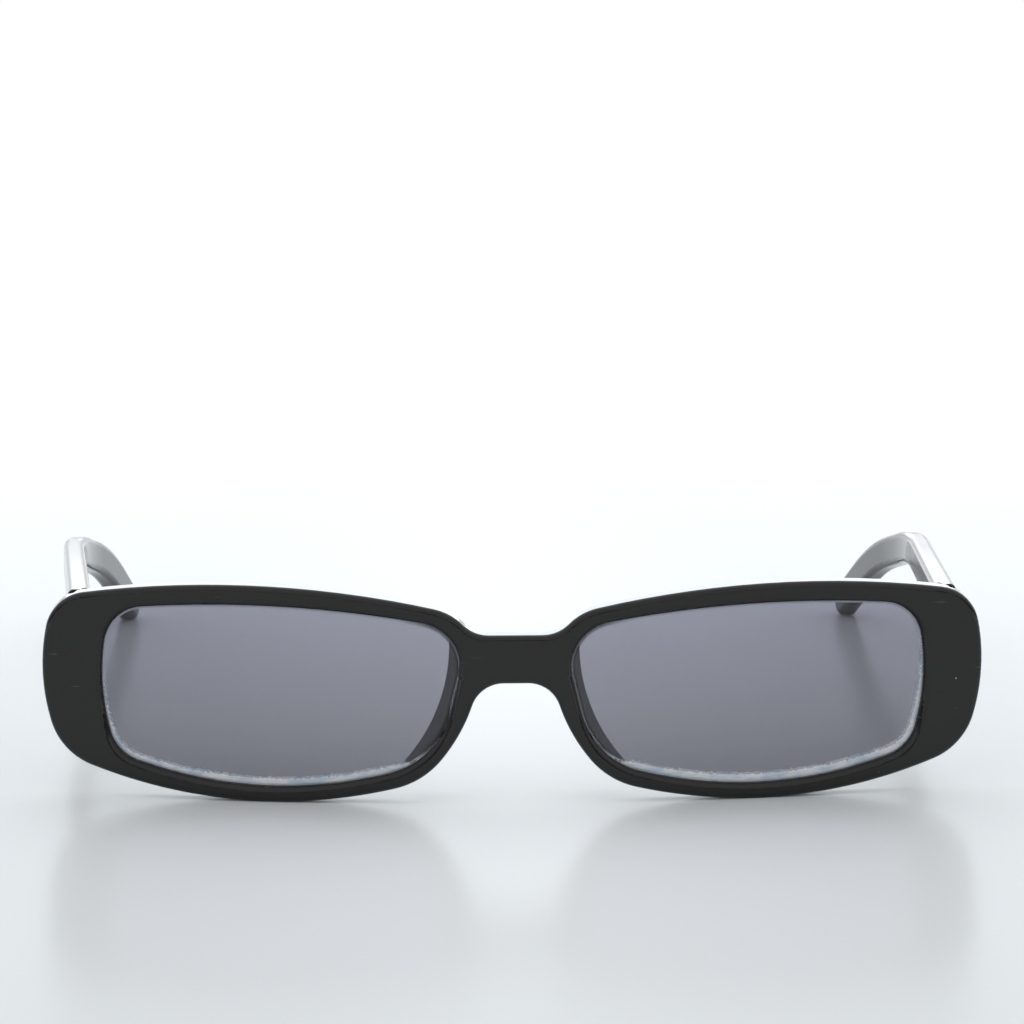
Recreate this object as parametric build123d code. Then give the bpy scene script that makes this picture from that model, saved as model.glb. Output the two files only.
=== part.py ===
from build123d import *
import math
import os

# Narrow rectangle sunglasses. Millimetres, +Z up, front towards -Y, temples towards +Y.
# The pair stands on the lowest points of its rims and on the tips of its temples.
# Left and right are the wearer's: +X is the wearer's left.

# Front, as seen from before it
lens_gap = 16.8            # between the two lens openings, at the bridge
opening_width = 54.2       # one lens opening, in its own plane
opening_height = 27.45
rim_bottom = 2.35          # below the opening
rim_top = 3.0              # above the opening
rim_nasal = 2.85           # beside the opening, towards the nose
end_piece_width = 8.75     # beside the opening, towards the temple
bridge_drop = 7.2          # from the rims' top down to the bridge
bridge_height = 7.3
bridge_shoulder_radius = 5.3
bridge_arch_radius = 5.0

# Front, through its thickness
front_curve = 285.0        # radius of the front's face, seen from above
front_thickness = 3.5
front_edge_radius = 0.8
back_edge_radius = 0.4
opening_face_radius = 0.9  # round the lens opening, on the front's face
opening_back_radius = 0.3  # and on its back

# Lenses
lens_thickness = 2.0
lens_setback = 1.2         # from the front's face to the lens
groove_depth = 0.7
bevel_width = 1.0          # of the lens's ground edge, across its face
bevel_depth = 0.6          # and through its thickness
lens_play = 0.05

# Nose pads, each a crescent-shaped wedge on the back of the rim
pad_top_x = 7.2            # spine of the wedge's root, at its upper end
pad_top_z = 23.6
pad_middle_x = 8.5
pad_middle_z = 13.3
pad_bottom_x = 14.0        # and at its lower end
pad_bottom_z = 5.0
pad_root_width = 2.0       # in the middle of the crescent
pad_edge_width = 2.0
pad_end_width = 1.1
pad_depth = 5.0            # from the back of the rim to the wedge's edge
pad_lean = 2.2             # how far the edge leans away from the nose
pad_seat = 0.2             # how far the wedge fills the rim's rounded back edge
pad_round = 0.3

# Temples, as seen from the side
temple_drop = 1.9          # from the rims' top down to the temple's top, at the hinge
temple_root_height = 11.5
temple_bar_height = 5.4
temple_taper = 50.0        # from the hinge to where the bar has its own height
ear_start = 88.6           # from the hinge to the first bend
ear_run = 23.2             # from the first bend to the second
tip_run = 21.8             # from the second bend to the middle of the rounded tip
ear_fall_shares = [0.286, 0.518]   # of the whole fall from hinge to tip, at the two bends
ear_bend_radius = 80.0
taper_share = 0.45         # of the taper's length, how far its curve keeps each direction

# Temples, as seen from above
temple_thickness = 3.5
temple_splay = 4.9         # degrees outwards
hook_bend = 16.0           # half the length of the turn inwards, at the first bend
hook_inward = 13.0         # degrees inwards
temple_edge_radius = 1.0
butt_gap = 0.1             # between the open temple and the front

# Hinges
barrel_radius = 1.25
barrel_offset = 1.4        # from the end piece's inner edge to the hinge axis
barrel_standoff = 0.25     # from the front's back face to the barrels
barrel_count = 5
barrel_gap = 0.06
hinge_height = 7.5
screw_radius = 0.65
screw_play = 0.03
head_radius = 1.0
head_height = 0.6
slot_width = 0.3
slot_depth = 0.3
leaf_thickness = 0.9
leaf_fit = 0.05
leaf_corner = 0.6
front_leaf_width = 4.8
temple_leaf_length = 9.5
temple_leaf_start = 1.75   # from the hinge axis to the temple leaf's plate
inner_offset = 0.1         # from the hinge axis to the temple's inner face
notch_play = 0.3           # between the barrels and the notch in the temple

# Core wires
wire_height = 2.4
wire_thickness = 1.0
wire_start = 4.0           # from the hinge axis to the wire
wire_stop = 8.0            # from the wire's end to the middle of the temple's tip
wire_fit = 0.05

overrun = 5.0              # how far a cutting solid passes what it cuts

# Corners of the rim and of the opening, in the order nasal top, temporal top, temporal bottom, nasal
# bottom: x from the nearer end and z from below, both as shares of the height. The bulge of the side
# after each corner is a share of that side's length, and each radius a share of the height.
rim_corner_shares = [(0.0, 0.852), (-0.061, 0.927), (-0.092, 0.195), (0.273, 0.096)]
rim_bulge_shares = [0.0550, 0.0762, 0.0710, 0.1082]
rim_radius_shares = [0.268, 0.210, 0.299, 0.390]
opening_corner_shares = [(-0.048, 0.859), (-0.059, 0.960), (-0.081, 0.1595), (0.120, 0.166)]
opening_bulge_shares = [0.0417, 0.0690, 0.0832, 0.0]
opening_radius_shares = [0.248, 0.237, 0.226, 0.460]

# Sizes that follow from those above
half_gap = lens_gap / 2
eye_lean = math.degrees(math.asin((half_gap + opening_width / 2) / front_curve))
eye_span = opening_width * math.cos(math.radians(eye_lean))
eye_x = half_gap + eye_span / 2
rim_inner_x = half_gap - rim_nasal
half_width = half_gap + eye_span + end_piece_width
front_height = rim_bottom + opening_height + rim_top
bridge_top = front_height - bridge_drop
bridge_underside = bridge_top - bridge_height
temple_top = front_height - temple_drop
back_radius = front_curve - front_thickness
hinge_x = half_gap + eye_span + barrel_offset
hinge_lean = math.degrees(math.asin(hinge_x / (back_radius - barrel_radius - barrel_standoff)))
hinge_y = front_curve - hinge_x / math.tan(math.radians(hinge_lean))
hinge_z = temple_top - temple_root_height / 2
hinge_reach = barrel_radius + barrel_standoff
barrel_pitch = hinge_height / barrel_count
leaf_height = hinge_height - barrel_gap
temple_middle = inner_offset + temple_thickness / 2
temple_reach = ear_start + ear_run + tip_run
tall = front_height + temple_top


def depth_at(x, back):
    """Y of the curved surface that lies back behind the front's face, at x from the middle."""
    return front_curve - math.sqrt((front_curve - back) ** 2 - x ** 2)


def inside_curve(back):
    """Everything behind the surface that lies back behind the front's face."""
    return Pos(0, front_curve, 0) * Cylinder(front_curve - back, 2 * tall)


def block(x, y, z):
    """A box between two limits on each axis."""
    size = [high - low for low, high in (x, y, z)]
    centre = [(high + low) / 2 for low, high in (x, y, z)]
    return Pos(*centre) * Box(*size)


def shared_outline(corner_shares, bulge_shares, radius_shares, width, height):
    """A four-sided outline with bulged sides and rounded corners, its lowest point at 0."""
    ends = [0, width, width, 0]
    corners = [(end + x * height, z * height) for end, (x, z) in zip(ends, corner_shares)]
    spans = [width, height, width, height]
    sides = []
    for i in range(len(corners)):
        follower = corners[(i + 1) % len(corners)]
        bulge = bulge_shares[i] * spans[i]
        sides.append(SagittaArc(corners[i], follower, bulge) if bulge else Line(corners[i], follower))
    face = make_face(sides)
    for corner, share in zip(corners, radius_shares):
        point = face.vertices().sort_by_distance(Vector(*corner))[0]
        face = fillet(point, share * height)
    return Pos(0, -face.bounding_box().min.Y) * face


def front_outline():
    """The front's outer outline, drawn for one half and mirrored."""
    width = half_width - rim_inner_x
    rim = shared_outline(rim_corner_shares, rim_bulge_shares, rim_radius_shares, width, front_height)
    bridge = Pos(eye_x / 2, bridge_underside) * Rectangle(
        eye_x, bridge_height, align=(Align.CENTER, Align.MIN))
    half = (Pos(rim_inner_x, 0) * rim + bridge).faces()[0]
    for level, radius in ((bridge_top, bridge_shoulder_radius), (bridge_underside, bridge_arch_radius)):
        inner = half.vertices().filter_by_position(Axis.X, rim_nasal / 2, half_gap)
        corner = inner.sort_by_distance(Vector(rim_inner_x, level))[0]
        half = fillet(corner, radius).faces()[0]
    return half + mirror(half, Plane.YZ)


def eye_plane():
    """The plane that one lens opening is drawn in, turned with the curve of the front."""
    lean = math.radians(eye_lean)
    outward = Vector(math.cos(lean), math.sin(lean), 0)
    facing = Vector(math.sin(lean), -math.cos(lean), 0)
    return Plane(origin=(eye_x, depth_at(eye_x, 0), rim_bottom), x_dir=outward, z_dir=facing)


def grown(outline, amount):
    """An outline of lines and arcs moved outwards, drawn again with plain arcs."""
    edges = []
    for edge in offset(outline, amount).edges():
        straight = edge.geom_type == GeomType.LINE
        edges.append(edge if straight else ThreePointArc(edge @ 0, edge @ (1 / 2), edge @ 1))
    return make_face(edges)


def eye_prism(grow):
    """The opening's outline, grown all round and drawn out through the front."""
    outline = shared_outline(opening_corner_shares, opening_bulge_shares, opening_radius_shares,
                             opening_width, opening_height)
    outline = Pos(-opening_width / 2, 0) * outline
    if grow:
        outline = grown(outline, grow)
    return extrude(eye_plane() * outline, amount=front_thickness + 2 * overrun, both=True)


def lens_shape(play):
    """A lens with its bevelled edge; with some play it is the groove that holds the lens."""
    near = inside_curve(lens_setback - play)
    far = inside_curve(lens_setback + lens_thickness + play)
    plate = (eye_prism(groove_depth + play) & near) - far
    for side in range(2):
        face = broad_faces(plate)[side]
        plate = chamfer(face.edges(), bevel_width, bevel_depth, reference=face)
    return plate


def broad_faces(solid):
    """The two broadest curved faces of a plate that follows the front: its face and its back."""
    return solid.faces().filter_by(GeomType.CYLINDER).sort_by(SortBy.AREA)[-2:].sort_by(Axis.Y)


def mirrored(solid):
    """The other side's copy of a piece."""
    return mirror(solid, Plane.YZ)


def make_front():
    """The front: both rims, the bridge and the end pieces, with the lens grooves cut in."""
    prism = extrude(Plane.XZ * front_outline(), amount=-tall)
    front = prism & (inside_curve(0) - inside_curve(front_thickness))
    front = fillet(broad_faces(front)[0].edges(), front_edge_radius)
    front = fillet(broad_faces(front)[1].edges(), back_edge_radius)
    opening = eye_prism(0)
    front = front - opening - mirrored(opening)
    for side, radius in enumerate((opening_face_radius, opening_back_radius)):
        wires = broad_faces(front)[side].inner_wires()
        front = fillet([edge for wire in wires for edge in wire.edges()], radius)
    groove = lens_shape(lens_play)
    return front - groove - mirrored(groove)


def pad_outline(shift, width):
    """A crescent along a nose pad's spine, moved away from the nose."""
    spine = [(pad_top_x, pad_top_z, pad_end_width), (pad_middle_x, pad_middle_z, width),
             (pad_bottom_x, pad_bottom_z, pad_end_width)]
    nose_side = [(x + shift - wide / 2, z) for x, z, wide in spine]
    lens_side = [(x + shift + wide / 2, z) for x, z, wide in spine]
    arcs = [ThreePointArc(*nose_side), ThreePointArc(*lens_side)]
    ends = [Line(nose_side[i], lens_side[i]) for i in (0, -1)]
    return make_face(arcs + ends)


def make_pad(front):
    """A nose pad: a wedge that grows out of the back of the rim and leans away from the nose."""
    root_depth = front_thickness - pad_seat
    root = Plane.XZ.offset(-root_depth) * pad_outline(0, pad_root_width)
    edge = Plane.XZ.offset(-front_thickness - pad_depth) * pad_outline(pad_lean, pad_edge_width)
    pad = loft([root, edge])
    pad = fillet(pad.faces().sort_by(Axis.Y)[-1].edges(), pad_round)
    return (pad & inside_curve(root_depth)) - front


def at_hinge(solid, turn):
    """A solid drawn about the hinge axis, put in its place and turned."""
    return Pos(hinge_x, hinge_y, hinge_z) * Rot(0, 0, turn) * solid


def knuckles(first, arm_x, arm_y):
    """Every second barrel of the hinge, each with the arm that joins it to its leaf."""
    height = barrel_pitch - barrel_gap
    made = []
    for i in range(first, barrel_count, 2):
        middle = (i + 1 / 2) * barrel_pitch - hinge_height / 2
        made.append(Pos(0, 0, middle) * Cylinder(barrel_radius, height))
        made.append(block(arm_x, arm_y, (middle - height / 2, middle + height / 2)))
    return made


def bored(solid):
    """A leaf with the screw's hole through its barrels."""
    return solid - Cylinder(screw_radius + screw_play, 2 * hinge_height)


def front_leaf_plate(fit):
    """The plate in the back of the end piece; with some fit it is the pocket that holds it."""
    x = (-leaf_thickness / 2 - fit, front_leaf_width - leaf_thickness / 2 + fit)
    y = (-hinge_reach - leaf_thickness - fit, -hinge_reach)
    half = leaf_height / 2 + fit
    plate = block(x, y, (-half, half))
    return fillet(plate.edges().filter_by(Axis.Y).sort_by(Axis.X)[-2:], leaf_corner + fit)


def temple_leaf_plate(fit):
    """The plate in the temple's inner face; with some fit it is the pocket that holds it."""
    x = (inner_offset, inner_offset + leaf_thickness + fit)
    y = (0 if fit else temple_leaf_start, temple_leaf_start + temple_leaf_length + fit)
    half = leaf_height / 2 + fit
    plate = block(x, y, (-half, half))
    return fillet(plate.edges().filter_by(Axis.X).sort_by(Axis.Y)[-2:], leaf_corner + fit)


def make_front_leaf():
    """The front's hinge leaf, with the outer and middle barrels."""
    arm_x = (-leaf_thickness / 2, leaf_thickness / 2)
    parts = knuckles(0, arm_x, (-hinge_reach - leaf_thickness / 2, 0))
    return at_hinge(bored(front_leaf_plate(0) + parts), hinge_lean)


def make_temple_leaf():
    """The temple's hinge leaf, with the two barrels between the front's."""
    arm_x = (inner_offset, inner_offset + leaf_thickness)
    parts = knuckles(1, arm_x, (0, temple_leaf_start + leaf_thickness))
    return at_hinge(bored(temple_leaf_plate(0) + parts), -temple_splay)


def make_screw():
    """The hinge screw: a plain shaft under a flat slotted head."""
    shaft = Cylinder(screw_radius, hinge_height, align=(Align.CENTER, Align.CENTER, Align.MIN))
    head = Cylinder(head_radius, head_height, align=(Align.CENTER, Align.CENTER, Align.MIN))
    head = fillet(head.edges().sort_by(Axis.Z)[-1], head_height / 3)
    slot = Box(3 * head_radius, slot_width, 2 * slot_depth)
    head = head - Pos(0, 0, head_height) * slot
    screw = Pos(0, 0, -hinge_height / 2) * shaft + Pos(0, 0, hinge_height / 2) * head
    return at_hinge(screw, 0)


def side_points():
    """The temple's middle line from the side: butt, two bends over the ear, and tip."""
    top = temple_top - temple_bar_height / 2 - hinge_z
    tip = temple_bar_height / 2 - hinge_z
    first, second = [top + share * (tip - top) for share in ear_fall_shares]
    butt = top + (top - first) * 2 * overrun / ear_start
    return [(-2 * overrun, butt), (ear_start, first), (ear_start + ear_run, second), (temple_reach, tip)]


def plan_outline(thickness):
    """A strip along the temple from above: straight from the hinge, then turned inwards."""
    lean = math.tan(math.radians(hook_inward))
    run = temple_reach + 2 * overrun - ear_start
    edges = []
    ends = []
    for x in (temple_middle - thickness / 2, temple_middle + thickness / 2):
        butt = Vector(x, -2 * overrun)
        before = Vector(x, ear_start - hook_bend)
        after = Vector(x - lean * hook_bend, ear_start + hook_bend)
        tip = Vector(x - lean * run, ear_start + run)
        edges += [Line(butt, before), Bezier(before, Vector(x, ear_start), after), Line(after, tip)]
        ends.append((butt, tip))
    edges += [Line(first, second) for first, second in zip(*ends)]
    return make_face(edges)


def bar(height, thickness, root):
    """A bar of even section along the temple; with a root it widens downwards to the hinge."""
    points = side_points()
    side = SlotArc(FilletPolyline(*points, radius=ear_bend_radius), height)
    if root:
        side = side + root_outline(points[0], points[1])
    prism = extrude(Plane.YZ * side, amount=temple_reach, both=True)
    return prism & extrude(plan_outline(thickness), amount=tall, both=True)


def root_outline(butt, bend):
    """The part of the temple's side that widens from the bar down to the hinge."""
    slope = (bend[1] - butt[1]) / (bend[0] - butt[0])
    deep = temple_root_height - temple_bar_height / 2
    start = Vector(butt[0], butt[1] - deep)
    end = Vector(temple_taper, butt[1] + slope * (temple_taper - butt[0]) - temple_bar_height / 2)
    keep = taper_share * (end.X - start.X)
    taper = Bezier(start, start + Vector(keep, slope * keep), end - Vector(keep, slope * keep), end)
    back = Vector(temple_taper, end.Y + temple_bar_height / 2)
    lines = Polyline(end, back, Vector(*butt), start)
    return make_face(taper.edges() + lines.edges())


def wire_shape(fit):
    """The flat wire in the temple; with some fit it is the channel that holds it."""
    strip = bar(wire_height + 2 * fit, wire_thickness + 2 * fit, False)
    start = -2 * overrun if fit else wire_start
    span = (start, temple_reach - wire_stop + fit)
    return strip & block((-temple_reach, temple_reach), span, (-tall, tall))


def make_temple():
    """The temple, with its long edges rounded, its butt fitted to the front and its pockets cut."""
    temple = bar(temple_bar_height, temple_thickness, True)
    temple = temple & block((-temple_reach, temple_reach), (-overrun, 2 * temple_reach), (-tall, tall))
    along = temple.edges().filter_by(Axis.X, reverse=True).filter_by(Axis.Z, reverse=True)
    along = along.filter_by_position(Axis.Y, 0, 2 * temple_reach)
    temple = fillet(along, temple_edge_radius)
    notch = Cylinder(barrel_radius + notch_play, 2 * tall)
    temple = temple - wire_shape(wire_fit) - temple_leaf_plate(leaf_fit) - notch
    return at_hinge(temple, -temple_splay) & inside_curve(front_thickness + butt_gap)


pieces = {"front_frame": make_front()}
sides = {
    "lens": lens_shape(0),
    "nose_pad": make_pad(pieces["front_frame"]),
    "temple": make_temple(),
    "hinge_front": make_front_leaf(),
    "hinge_temple": make_temple_leaf(),
    "hinge_screw": make_screw(),
    "core_wire": at_hinge(wire_shape(0), -temple_splay),
}
pocket = at_hinge(front_leaf_plate(leaf_fit), hinge_lean)
pieces["front_frame"] = pieces["front_frame"] - pocket - mirrored(pocket)
for name, solid in sides.items():
    pieces[name + "_left"] = solid
    pieces[name + "_right"] = mirrored(solid)

whole = Compound(list(pieces.values())).bounding_box()
shift = Pos(0, -whole.center().Y, -whole.min.Z)
os.makedirs("parts", exist_ok=True)
for name, solid in pieces.items():
    solid = shift * solid
    solid.label = name
    export_step(solid, f"parts/{name}.step")
    box = solid.bounding_box()
    print(name, round(solid.volume, 3), [round(v, 2) for v in (*box.min, *box.max)])
print("hinge axis", hinge_x, hinge_y - whole.center().Y, hinge_z - whole.min.Z)
print("box", whole.size, "moved", -whole.center().Y, -whole.min.Z)
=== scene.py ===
# %% [markdown]
# Narrow rectangle sunglasses, dressed for a studio picture.
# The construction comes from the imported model: every plastic, tinted and metal piece at its real
# size. This notebook gives those pieces their finishes, lights them and looks at them as the
# photograph does.

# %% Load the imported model
import math
import bpy
import bmesh
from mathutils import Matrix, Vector


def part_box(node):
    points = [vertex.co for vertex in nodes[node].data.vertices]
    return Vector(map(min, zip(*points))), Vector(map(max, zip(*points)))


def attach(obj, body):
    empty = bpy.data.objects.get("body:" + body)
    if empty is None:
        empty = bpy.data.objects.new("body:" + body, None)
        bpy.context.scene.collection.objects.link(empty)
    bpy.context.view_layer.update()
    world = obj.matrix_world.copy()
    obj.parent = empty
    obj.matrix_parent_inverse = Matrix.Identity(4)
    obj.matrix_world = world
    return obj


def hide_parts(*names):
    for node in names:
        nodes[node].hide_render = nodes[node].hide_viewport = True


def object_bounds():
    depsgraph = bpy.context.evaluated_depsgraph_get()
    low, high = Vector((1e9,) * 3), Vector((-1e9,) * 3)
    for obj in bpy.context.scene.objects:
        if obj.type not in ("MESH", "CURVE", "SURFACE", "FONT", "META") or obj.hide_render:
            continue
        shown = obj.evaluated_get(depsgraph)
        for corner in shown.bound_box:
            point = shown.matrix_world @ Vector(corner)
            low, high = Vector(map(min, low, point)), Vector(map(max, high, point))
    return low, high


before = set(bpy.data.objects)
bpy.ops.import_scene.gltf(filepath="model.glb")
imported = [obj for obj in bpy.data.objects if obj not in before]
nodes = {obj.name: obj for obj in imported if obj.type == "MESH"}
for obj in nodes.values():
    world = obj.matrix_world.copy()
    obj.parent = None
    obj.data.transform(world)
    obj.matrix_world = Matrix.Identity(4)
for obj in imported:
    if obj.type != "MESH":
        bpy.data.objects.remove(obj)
cad_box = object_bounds()
low, high = (Vector(corner) for corner in cad_box)
print("pieces", len(nodes), "size in mm", [round(side * 1000, 1) for side in high - low])

# %% [markdown]
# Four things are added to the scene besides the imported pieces: a camera, the dressed lenses, a
# table and a lamp. One helper links an object, and one turns a bmesh into a mesh with its finish.

# %% Scene helpers
scene = bpy.context.scene


def add_object(name, data):
    thing = bpy.data.objects.new(name, data)
    scene.collection.objects.link(thing)
    return thing


def finished_mesh(builder, name, finish):
    mesh = bpy.data.meshes.new(name)
    builder.to_mesh(mesh)
    builder.free()
    mesh.materials.append(finish)
    return mesh


print("scene helpers ready")

# %% [markdown]
# The photograph was taken with a long lens, so the temples look almost as large as the front.
# A camera 60 cm from the foot of the bridge, a little to one side and 14 degrees up, gives the
# same picture. Its direction and focal length put the rims where the photograph has them.

# %% Camera
millimetre = 0.001
camera_distance = 600 * millimetre
camera_side = math.radians(-2.0)
camera_height = math.radians(13.8)
look_side = math.radians(-1.941)
look_down = math.radians(9.625)
sensor_width = 36.0
focal_pixels = 4004.17
picture_pixels = 1024

bridge_foot = Vector((0, low.y, 0))
towards_camera = Vector((math.sin(camera_side) * math.cos(camera_height),
                         -math.cos(camera_side) * math.cos(camera_height),
                         math.sin(camera_height)))
camera_data = bpy.data.cameras.new("camera")
camera_data.sensor_width = sensor_width
camera_data.lens = focal_pixels / picture_pixels * sensor_width
camera = add_object("camera", camera_data)
camera.location = bridge_foot + towards_camera * camera_distance
camera.rotation_euler = (math.radians(90) - look_down, 0, look_side)
scene.camera = camera
print("camera at", [round(v, 3) for v in camera.location], "lens", round(camera_data.lens, 1))

# %% [markdown]
# Every finish is a small node tree. These helpers start a material, add a node with its settings
# and inputs, and connect the finished shader to the output.

# %% Material helpers
def new_material(name):
    material = bpy.data.materials.new(name)
    material.use_nodes = True
    material.node_tree.nodes.clear()
    return material, material.node_tree


def fill(tree, socket, value):
    if isinstance(value, bpy.types.NodeSocket):
        tree.links.new(value, socket)
    else:
        socket.default_value = value


def add(tree, kind, inputs, **settings):
    node = tree.nodes.new("ShaderNode" + kind)
    for setting, value in settings.items():
        setattr(node, setting, value)
    for name, value in inputs.items():
        fill(tree, node.inputs[name], value)
    return node


def show(tree, shader, output="OutputMaterial"):
    add(tree, output, {"Surface": shader})


print("material helpers ready")

# %% [markdown]
# Layers are put together by sums between two values, each a number or another node's output.
# Remapping stretches one range of values over another and holds its ends.

# %% Sums
def combine(tree, operation, first, second):
    return add(tree, "Math", {0: first, 1: second}, operation=operation).outputs["Value"]


def scaled(tree, value, factor):
    return combine(tree, "MULTIPLY", value, factor)


def total(tree, value, *others):
    for other in others:
        value = combine(tree, "ADD", value, other)
    return value


def remap(tree, value, source, target=(0.0, 1.0), **settings):
    ends = {"From Min": source[0], "From Max": source[1], "To Min": target[0], "To Max": target[1]}
    return add(tree, "MapRange", {"Value": value, **ends}, **settings).outputs["Result"]


print("sums ready")

# %% [markdown]
# Most finishes end in the same shader, with a bump from a height pattern. Two shaders can share a
# surface, by a fixed share, by a mask, or by the kind of light ray that arrives.

# %% Shader helpers
def principled(tree, inputs):
    return add(tree, "BsdfPrincipled", inputs).outputs["BSDF"]


def bumped(tree, height, strength, depth):
    inputs = {"Height": height, "Strength": strength, "Distance": depth}
    return add(tree, "Bump", inputs).outputs["Normal"]


def mixed(tree, share, first, second):
    return add(tree, "MixShader", {0: share, 1: first, 2: second}).outputs["Shader"]


def sees_background(tree, *others):
    path = add(tree, "LightPath", {})
    seen = path.outputs["Is Camera Ray"]
    for other in ("Is Transmission Ray", *others):
        seen = combine(tree, "MAXIMUM", seen, path.outputs[other])
    return seen


print("shader helpers ready")

# %% [markdown]
# The patterns use Object coordinates. The pieces stand in metres, so a scale of 1000 is one per
# millimetre. A colour ramp turns a grey pattern into a mask or a tint: each stop is a place from 0
# to 1 and the colour there. A noise gives soft blotches, and its size follows its scale.

# %% Patterns
def ramp(tree, value, *stops):
    node = add(tree, "ValToRGB", {"Fac": value})
    elements = node.color_ramp.elements
    while len(elements) < len(stops):
        elements.new(1.0)
    for element, (place, colour) in zip(elements, stops):
        element.position = place
        parts = colour if isinstance(colour, tuple) else (colour,) * 3
        element.color = (*parts, 1)
    return node.outputs["Color"]


def placed(tree, scale=(1, 1, 1), turn=(0, 0, 0)):
    place = add(tree, "TexCoord", {}).outputs["Object"]
    inputs = {"Vector": place, "Scale": scale, "Rotation": turn}
    return add(tree, "Mapping", inputs).outputs["Vector"]


def noise(tree, place, scale, detail=2.0):
    inputs = {"Vector": place, "Scale": scale, "Detail": detail}
    return add(tree, "TexNoise", inputs).outputs["Fac"]


def coordinate(tree, axis):
    return add(tree, "SeparateXYZ", {"Vector": placed(tree)}).outputs[axis]


print("patterns ready")

# %% [markdown]
# Fine wear is what makes polished plastic look real: hairline scratches from wiping, and specks
# of dust. A scratch is a noise squeezed twentyfold along one direction, so that its blobs show as
# lines, with only the peaks kept. Two sets at different turns cross each other. A speck is the
# middle of a Voronoi cell, kept only in the cells whose random colour is dark.

# %% Scratches and dust
hairline_squeeze = (160, 160, 3200)
hairline_turns = [(0.5, 0.3, 0.2), (-0.7, 0.9, 0.4)]
hairline_detail = 3.0
hairline_start = 0.73
hairline_edge = 0.04


def scratches(tree):
    sets = []
    for turn in hairline_turns:
        lines = noise(tree, placed(tree, hairline_squeeze, turn), 1.0, hairline_detail)
        sets.append(ramp(tree, lines, (hairline_start, 0.0), (hairline_start + hairline_edge, 1.0)))
    return combine(tree, "MAXIMUM", *sets)


def dust(tree, cells_per_metre, speck_share, kept_share):
    cells = add(tree, "TexVoronoi", {"Vector": placed(tree), "Scale": cells_per_metre})
    speck = ramp(tree, cells.outputs["Distance"], (speck_share / 2, 1.0), (speck_share, 0.0))
    chosen = combine(tree, "LESS_THAN", cells.outputs["Color"], kept_share)
    return combine(tree, "MULTIPLY", speck, chosen)


print("wear patterns ready")

# %% [markdown]
# The front and temples are injection-moulded black plastic, polished until they mirror the studio.
# Under the polish the surface still waves by a few thousandths of a millimetre, which bends the
# reflections, so a slow noise goes into the bump. Hairlines and dust lift the colour, and
# hairlines and blotches the roughness.

# %% Polished black plastic
plastic_ior = 1.49
wear_colour = (0.30, 0.30, 0.31)
hairline_paleness = 0.25
hairline_roughness = 0.15
hairline_height = -0.1
blotch_scale = 70
blotch_roughness = 0.05
black_dust = {"cells_per_metre": 330, "speck_share": 0.06, "kept_share": 0.2}
polish_strength = 0.5
polish_depth = 0.02 * millimetre


def polished_black(name, black, smooth, wave_scale):
    material, tree = new_material(name)
    lines = scratches(tree)
    specks = dust(tree, **black_dust)
    wear = combine(tree, "MAXIMUM", scaled(tree, lines, hairline_paleness), specks)
    blotches = noise(tree, placed(tree), blotch_scale)
    roughness = total(tree, smooth, scaled(tree, blotches, blotch_roughness),
                      scaled(tree, lines, hairline_roughness))
    waves = noise(tree, placed(tree), wave_scale)
    height = total(tree, waves, scaled(tree, lines, hairline_height))
    show(tree, principled(tree, {"Base Color": ramp(tree, wear, (0.0, black), (1.0, wear_colour)),
                                 "Roughness": roughness, "IOR": plastic_ior,
                                 "Normal": bumped(tree, height, polish_strength, polish_depth)}))
    return material


front_black = polished_black("polished_black_front", black=(0.0075, 0.0065, 0.0062),
                             smooth=0.05, wave_scale=90)
temple_black = polished_black("polished_black_temple", black=(0.0075, 0.007, 0.007),
                              smooth=0.06, wave_scale=60)
print("finishes", front_black.name, temple_black.name)

# %% [markdown]
# The nose pads are black plastic too, but rubbed satin by use, with scuffs that show as paler,
# rougher streaks. They are seen through the lens, so the scuffs are broader than hairlines. A fine
# grain breaks up the scuffs and gives the bump.

# %% Satin nose pads
streak_squeeze = (900, 400, 120)
streak_turn = (0, 0.35, 0)
streak_detail = 4.0
scuff_stops = ((0.40, 0.0), (0.62, 1.0))
grain_scale = 2500
grain_detail = 3.0
grain_strength = 0.4
grain_depth = 0.03 * millimetre
pad_stops = ((0.0, (0.035, 0.035, 0.039)), (0.6, (0.15, 0.155, 0.17)))
pad_roughness = 0.30
scuff_roughness = 0.25


def satin_pad():
    material, tree = new_material("satin_pad")
    streaks = noise(tree, placed(tree, streak_squeeze, streak_turn), 1.0, streak_detail)
    scuff = ramp(tree, streaks, *scuff_stops)
    grain = noise(tree, placed(tree), grain_scale, grain_detail)
    colour = ramp(tree, combine(tree, "MULTIPLY", scuff, grain), *pad_stops)
    roughness = total(tree, pad_roughness, scaled(tree, scuff, scuff_roughness))
    show(tree, principled(tree, {"Base Color": colour, "Roughness": roughness,
                                 "Normal": bumped(tree, grain, grain_strength, grain_depth)}))
    return material


pad_satin = satin_pad()
print("finish", pad_satin.name)

# %% [markdown]
# A lens is ground to a bevel all round before it is snapped into its groove. The grinding leaves a
# frosted, bluish-white surface with fine lines along it. It is pale because its rough surface
# scatters light back and also lets some through, so two shaders are mixed.

# %% Ground plastic
grinding_squeeze = (500, 900, 2600)
grinding_detail = 4.0
grinding_strength = 0.5
grinding_depth = 0.05 * millimetre
patch_scale = 260
frost_stops = ((0.15, (0.66, 0.76, 0.86)), (0.30, (1.0, 1.0, 1.0)))
frost_roughness = 0.5
light_through = 0.45


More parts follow.
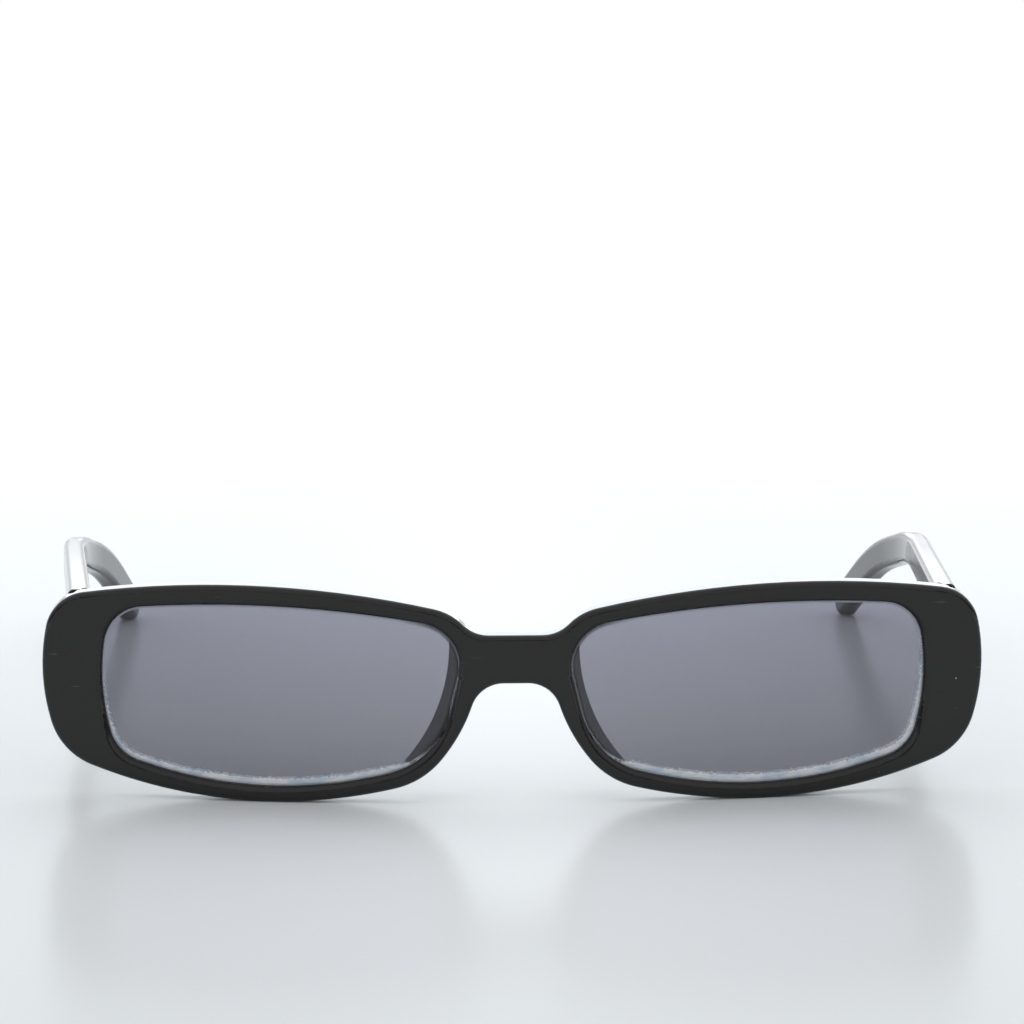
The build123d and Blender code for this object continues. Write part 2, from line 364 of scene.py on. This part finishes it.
def frost(tree):
    grinding = noise(tree, placed(tree, grinding_squeeze), 1.0, grinding_detail)
    patches = noise(tree, placed(tree), patch_scale)
    colour = ramp(tree, combine(tree, "MULTIPLY", grinding, patches), *frost_stops)
    normal = bumped(tree, grinding, grinding_strength, grinding_depth)
    matte = principled(tree, {"Base Color": colour, "Roughness": frost_roughness,
                              "IOR": plastic_ior, "Normal": normal})
    through = add(tree, "BsdfTranslucent", {"Color": colour}).outputs["BSDF"]
    return mixed(tree, light_through, matte, through)


print("ground plastic ready")

# %% [markdown]
# A finish can ask three things of a point on a lens: how high it is, from 0 to 1, how much it is
# beside the nose, and how near the lens's edge it is, which an attribute on the mesh says.

# %% Places on a lens
lens_low, lens_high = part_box("lens_left")
nose_side = (13.0 * millimetre, 18.0 * millimetre)


def height_on_lens(tree):
    return remap(tree, coordinate(tree, "Z"), (lens_low[2], lens_high[2]))


def beside_nose(tree):
    away = combine(tree, "ABSOLUTE", coordinate(tree, "X"), 0.0)
    return remap(tree, away, nose_side, (1.0, 0.0))


def nearness(tree):
    return add(tree, "Attribute", {}, attribute_name="near_edge").outputs["Fac"]


print("lens from", [round(v, 4) for v in lens_low], "to", [round(v, 4) for v in lens_high])

# %% [markdown]
# The lenses are grey-violet through and through, with a slight mottle and specks of dust. Their
# tint is painted paler at the top and darker low down: a painted shade for the shaded table seen
# through the lower part. Beside the nose the lens's edge is painted near black, a painted shade
# where the pad's root meets it.
# Light that lamps send through a lens has to reach the table, so a transparent layer takes over
# for shadow rays only. The tint is what light keeps through both faces, so in that layer each face
# keeps its square root.

# %% Tinted plastic
# Painted shade: the tint's lower stop is darker, for the shaded table seen through the lens.
tint_and_painted_shade_stops = ((0.0, (0.20, 0.196, 0.222)), (1.0, (0.29, 0.287, 0.338)))
mottle_scale = 60
mottle_swing = 0.04
lens_dust = {"cells_per_metre": 240, "speck_share": 0.03, "kept_share": 0.12}
root_shade_stops = ((0.7, 0.0), (0.9, 0.9))
near_black = (0.02, 0.02, 0.02, 1)
square_root = 0.5


def tint_colour(tree):
    mottle = scaled(tree, noise(tree, placed(tree), mottle_scale), mottle_swing)
    level = total(tree, height_on_lens(tree), -mottle_swing / 2, mottle)
    # Painted shade: near the edge beside the nose the tint turns near black where the pad's root
    # meets it.
    edge = ramp(tree, nearness(tree), *root_shade_stops)
    root_shade = combine(tree, "MULTIPLY", edge, beside_nose(tree))
    specks_and_root_shade = combine(tree, "MAXIMUM", dust(tree, **lens_dust), root_shade)
    colours = {"Fac": specks_and_root_shade, "Color1": ramp(tree, level, *tint_and_painted_shade_stops), "Color2": near_black}
    return add(tree, "MixRGB", colours).outputs["Color"]


def clear_tint(tree):
    colour = tint_colour(tree)
    glass = principled(tree, {"Base Color": colour, "Roughness": 0.0, "IOR": plastic_ior,
                              "Transmission Weight": 1.0})
    each_face = add(tree, "Gamma", {"Color": colour, "Gamma": square_root}).outputs["Color"]
    clear = add(tree, "BsdfTransparent", {"Color": each_face}).outputs["BSDF"]
    return mixed(tree, add(tree, "LightPath", {}).outputs["Is Shadow Ray"], glass, clear)


print("tint from", tint_and_painted_shade_stops[0][1], "to", tint_and_painted_shade_stops[1][1])

# %% [markdown]
# The grinding wheel also grazed the outermost millimetre of each face, most along the bottom,
# where a chipped white margin shows in the photograph. Where the nearness to the edge is high
# enough, frost takes the place of the clear tint. Less is needed low on the lens and more beside
# the nose, where the photograph shows none. The wearer's left lens has the wider margin, and a
# noise chips its border.
# The sum of all that goes up to about 2 and a ramp ends at 1, so the ramp gets a share of it.

# %% Lens with a ground margin
outer_side = 50.0 * millimetre
side_help = (-0.1, 0.12)
low_part = (0.05, 0.85)
low_help = (0.5, -0.5)
nose_hindrance = 1.2
chip_scale = 2600
chip_detail = 3.0
chip_size = 0.6
full_level = 2.0
cover_stops = ((0.55, 0.0), (0.60, 1.0))


def margin_help(tree):
    by_side = remap(tree, coordinate(tree, "X"), (-outer_side, outer_side), side_help)
    low_down = remap(tree, height_on_lens(tree), low_part, low_help)
    by_nose = scaled(tree, beside_nose(tree), -nose_hindrance)
    return total(tree, by_side, by_nose, low_down)


def lens_with_margin():
    material, tree = new_material("lens_tint")
    chips = scaled(tree, noise(tree, placed(tree), chip_scale, chip_detail), chip_size)
    level = total(tree, nearness(tree), margin_help(tree), chips)
    cover = ramp(tree, scaled(tree, level, 1 / full_level), *cover_stops)
    show(tree, mixed(tree, cover, clear_tint(tree), frost(tree)))
    return material


tint = lens_with_margin()
print("finish", tint.name)

# %% [markdown]
# The hinges are stamped nickel silver with fine lines from rolling, the screws are turned steel
# with rings round their axis, and the core wires are rolled flat. One brushed-metal finish serves
# all three, with the direction of its lines set by which axis its noise is squeezed along.

# %% Brushed metals
brushing_detail = 3.0
brushing_roughness = 0.2
brushing_strength = 0.3
brushing_depth = 0.02 * millimetre
stain_scale = 500
stain_dark, stain_pale = 0.15, 0.35


def brushed_metal(name, dark, pale, squeeze, smooth):
    material, tree = new_material(name)
    lines = noise(tree, placed(tree, squeeze), 1.0, brushing_detail)
    stains = combine(tree, "MULTIPLY", lines, noise(tree, placed(tree), stain_scale))
    colour = ramp(tree, stains, (stain_dark, dark), (stain_pale, pale))
    roughness = total(tree, smooth, scaled(tree, lines, brushing_roughness))
    normal = bumped(tree, lines, brushing_strength, brushing_depth)
    show(tree, principled(tree, {"Base Color": colour, "Roughness": roughness, "Metallic": 1.0,
                                 "Normal": normal}))
    return material


nickel = brushed_metal("nickel_silver", dark=(0.42, 0.40, 0.36), pale=(0.70, 0.68, 0.63),
                       squeeze=(6000, 400, 6000), smooth=0.22)
steel = brushed_metal("turned_steel", dark=(0.45, 0.45, 0.46), pale=(0.72, 0.72, 0.73),
                      squeeze=(500, 500, 9000), smooth=0.18)
wire = brushed_metal("rolled_wire", dark=(0.48, 0.45, 0.40), pale=(0.72, 0.69, 0.62),
                     squeeze=(5000, 150, 5000), smooth=0.25)
print("finishes", nickel.name, steel.name, wire.name)

# %% [markdown]
# Each CAD node already has one material slot. A finish goes into the slot and the mesh stays as it
# is. Left and right pieces share a finish, so the table is keyed by the name without its side.

# %% Finish the CAD nodes
finishes = {"front_frame": front_black, "temple": temple_black, "nose_pad": pad_satin,
            "hinge_front": nickel, "hinge_temple": nickel, "hinge_screw": steel, "core_wire": wire}
for name, piece in nodes.items():
    finish = finishes.get(name.removesuffix("_left").removesuffix("_right"))
    if finish:
        for slot in piece.material_slots:
            slot.material = finish
    print(name, "slots", len(piece.material_slots), "finish", finish.name if finish else "later")

# %% [markdown]
# The lens's finish needs the attribute and smooth broad faces, so a copy of its mesh stands in for
# the node. The broad faces follow a cylinder round one upright axis behind the front. A face whose
# direction agrees with that cylinder is broad, and any other is bevel.
# The broad faces are inset by the width of the ground margin, and the attribute for it is 1 on
# their outlines and 0 on the inset ones. The exact directions of the cylinder are then stored at
# the corners of the broad faces, so the glass has no facets.

# %% Lenses
front_curve = 285 * millimetre
curve_centre = low.y + front_curve
weld = 0.001 * millimetre
broad_agreement = 0.995
margin_width = 1.3 * millimetre


def outward(point):
    return Vector((point.x, point.y - curve_centre, 0)).normalized()


def is_broad(normal, centre):
    return abs(normal.dot(outward(centre))) > broad_agreement


def lens_copy(side):
    builder = bmesh.new()
    builder.from_mesh(nodes["lens_" + side].data)
    bmesh.ops.remove_doubles(builder, verts=builder.verts, dist=weld)
    broad = [face for face in builder.faces if is_broad(face.normal, face.calc_center_median())]
    for face in builder.faces:
        face.smooth = True
    for edge in builder.edges:
        edge.smooth = len({face in broad for face in edge.link_faces}) == 1
    near_edge = builder.verts.layers.float.new("near_edge")
    for vert in builder.verts:
        vert[near_edge] = 1.0
    bmesh.ops.inset_region(builder, faces=broad, thickness=margin_width, use_even_offset=True)
    for vert in {vert for face in broad for vert in face.verts}:
        vert[near_edge] = 0.0
    return finished_mesh(builder, "tinted_lens_" + side, tint)


def smooth_broad_faces(mesh):
    corners = [corner.vector.copy() for corner in mesh.corner_normals]
    for face in mesh.polygons:
        if is_broad(face.normal, face.center):
            for loop in face.loop_indices:
                away = outward(mesh.vertices[mesh.loops[loop].vertex_index].co)
                corners[loop] = away if face.normal.dot(away) > 0 else -away
    mesh.normals_split_custom_set(corners)


for side in ("left", "right"):
    mesh = lens_copy(side)
    smooth_broad_faces(mesh)
    lens = add_object("tinted_lens_" + side, mesh)
    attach(lens, "front")
    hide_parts("lens_" + side)
    print(lens.name, "faces", len(mesh.polygons))

# %% [markdown]
# The sunglasses stand on a pale glossy table. Its polish gives the long soft reflection under the
# front, and a slow noise keeps the polish from being perfectly even. A pool of light is painted in
# the middle: the table's colour is paler in an oval there. Away from the object the table fades to
# white for what the camera sees, also in mirrors and through glass, so it has no far edge in any
# view.

# %% Table
table_reach = 4.0
pool_scale = (1 / 0.065, 1 / 0.28, 0)
light_pool_stops = ((0.0, (0.83, 0.85, 0.86)), (1.0, (0.73, 0.75, 0.76)))
table_roughness = 0.20
uneven_scale = 25
uneven_roughness = 0.03
table_mirror = 0.02
table_fade = (0.26, 0.42)


def distance_out(tree, place):
    return add(tree, "VectorMath", {0: place}, operation="LENGTH").outputs["Value"]


def table_finish():
    material, tree = new_material("glossy_table")
    uneven = scaled(tree, noise(tree, placed(tree), uneven_scale), uneven_roughness)
    # Painted light: the colour is paler in an oval in the middle, a painted pool of light.
    from_pool = distance_out(tree, placed(tree, pool_scale))
    aside = remap(tree, from_pool, (0.0, 1.0), interpolation_type="SMOOTHSTEP")
    gloss = principled(tree, {"Base Color": ramp(tree, aside, *light_pool_stops),
                              "Roughness": total(tree, table_roughness, uneven),
                              "Specular IOR Level": table_mirror})
    fade = remap(tree, distance_out(tree, placed(tree)), table_fade)
    seen = combine(tree, "MULTIPLY", fade, sees_background(tree, "Is Glossy Ray"))
    white = add(tree, "Emission", {"Strength": 1.0}).outputs["Emission"]
    show(tree, mixed(tree, seen, gloss, white))
    return material


builder = bmesh.new()
bmesh.ops.create_grid(builder, x_segments=1, y_segments=1, size=table_reach)
table = add_object("table", finished_mesh(builder, "table", table_finish()))
print("table", table_reach * 2, "m across")

# %% [markdown]
# The photograph's light comes from a long glowing panel low behind the table. Polished edges that
# face up mirror it pale blue, while the front's face mirrors only the darker room before it.
# The panel is an area lamp that the camera doesn't see, and its power follows from how bright its
# surface has to look.

# %% Light panel
panel_distance = 1.3
panel_middle = 0.28
panel_size = (2.8, 0.46)
panel_radiance = 1.65
panel_colour = (0.85, 0.935, 1.0)

lamp_data = bpy.data.lights.new("panel", "AREA")
lamp_data.shape = "RECTANGLE"
lamp_data.size, lamp_data.size_y = panel_size
lamp_data.color = panel_colour
lamp_data.energy = panel_radiance * math.pi * panel_size[0] * panel_size[1]
panel = add_object("panel", lamp_data)
panel.location = (0, panel_distance, panel_middle)
panel.rotation_euler = (-panel.location).to_track_quat("-Z", "Y").to_euler()
panel.visible_camera = False
print("panel power", round(lamp_data.energy, 1), "W")

# %% [markdown]
# The room itself is a dome that is brighter behind than on the camera's side, and dark low down on
# that side, where the photographer stands. The polished front mirrors that dark strip as a line
# under its upper edge. The camera sees the room as plain white, also through glass. One ramp runs
# from before the object to behind it, and one from the floor up, and they set how bright the dome
# is for every other ray.

# %% Room
room_front = 0.75
room_back = 1.26
dark_strip = 0.15
strip_heights = (0.05, 0.30)
front_to_back = (-0.3, 0.7)
room_colour = (0.97, 0.985, 1.0, 1)
plain_white = (1, 1, 1, 1)


def background(tree, colour, strength):
    inputs = {"Color": colour, "Strength": strength}
    return add(tree, "Background", inputs).outputs["Background"]


world = bpy.data.worlds.new("studio")
scene.world = world
world.use_nodes = True
tree = world.node_tree
tree.nodes.clear()
direction = add(tree, "TexCoord", {}).outputs["Generated"]
along = add(tree, "SeparateXYZ", {"Vector": direction})
wall = remap(tree, along.outputs["Z"], strip_heights, (dark_strip, room_front))
level = remap(tree, along.outputs["Y"], front_to_back, (wall, room_back))
room = background(tree, room_colour, level)
white = background(tree, plain_white, 1.0)
show(tree, mixed(tree, sees_background(tree), room, white), "OutputWorld")
print("room from", room_front, "to", room_back)

# %% [markdown]
# Last, the colours are shown as they are written.

# %% Finish
scene.view_settings.view_transform = "Standard"
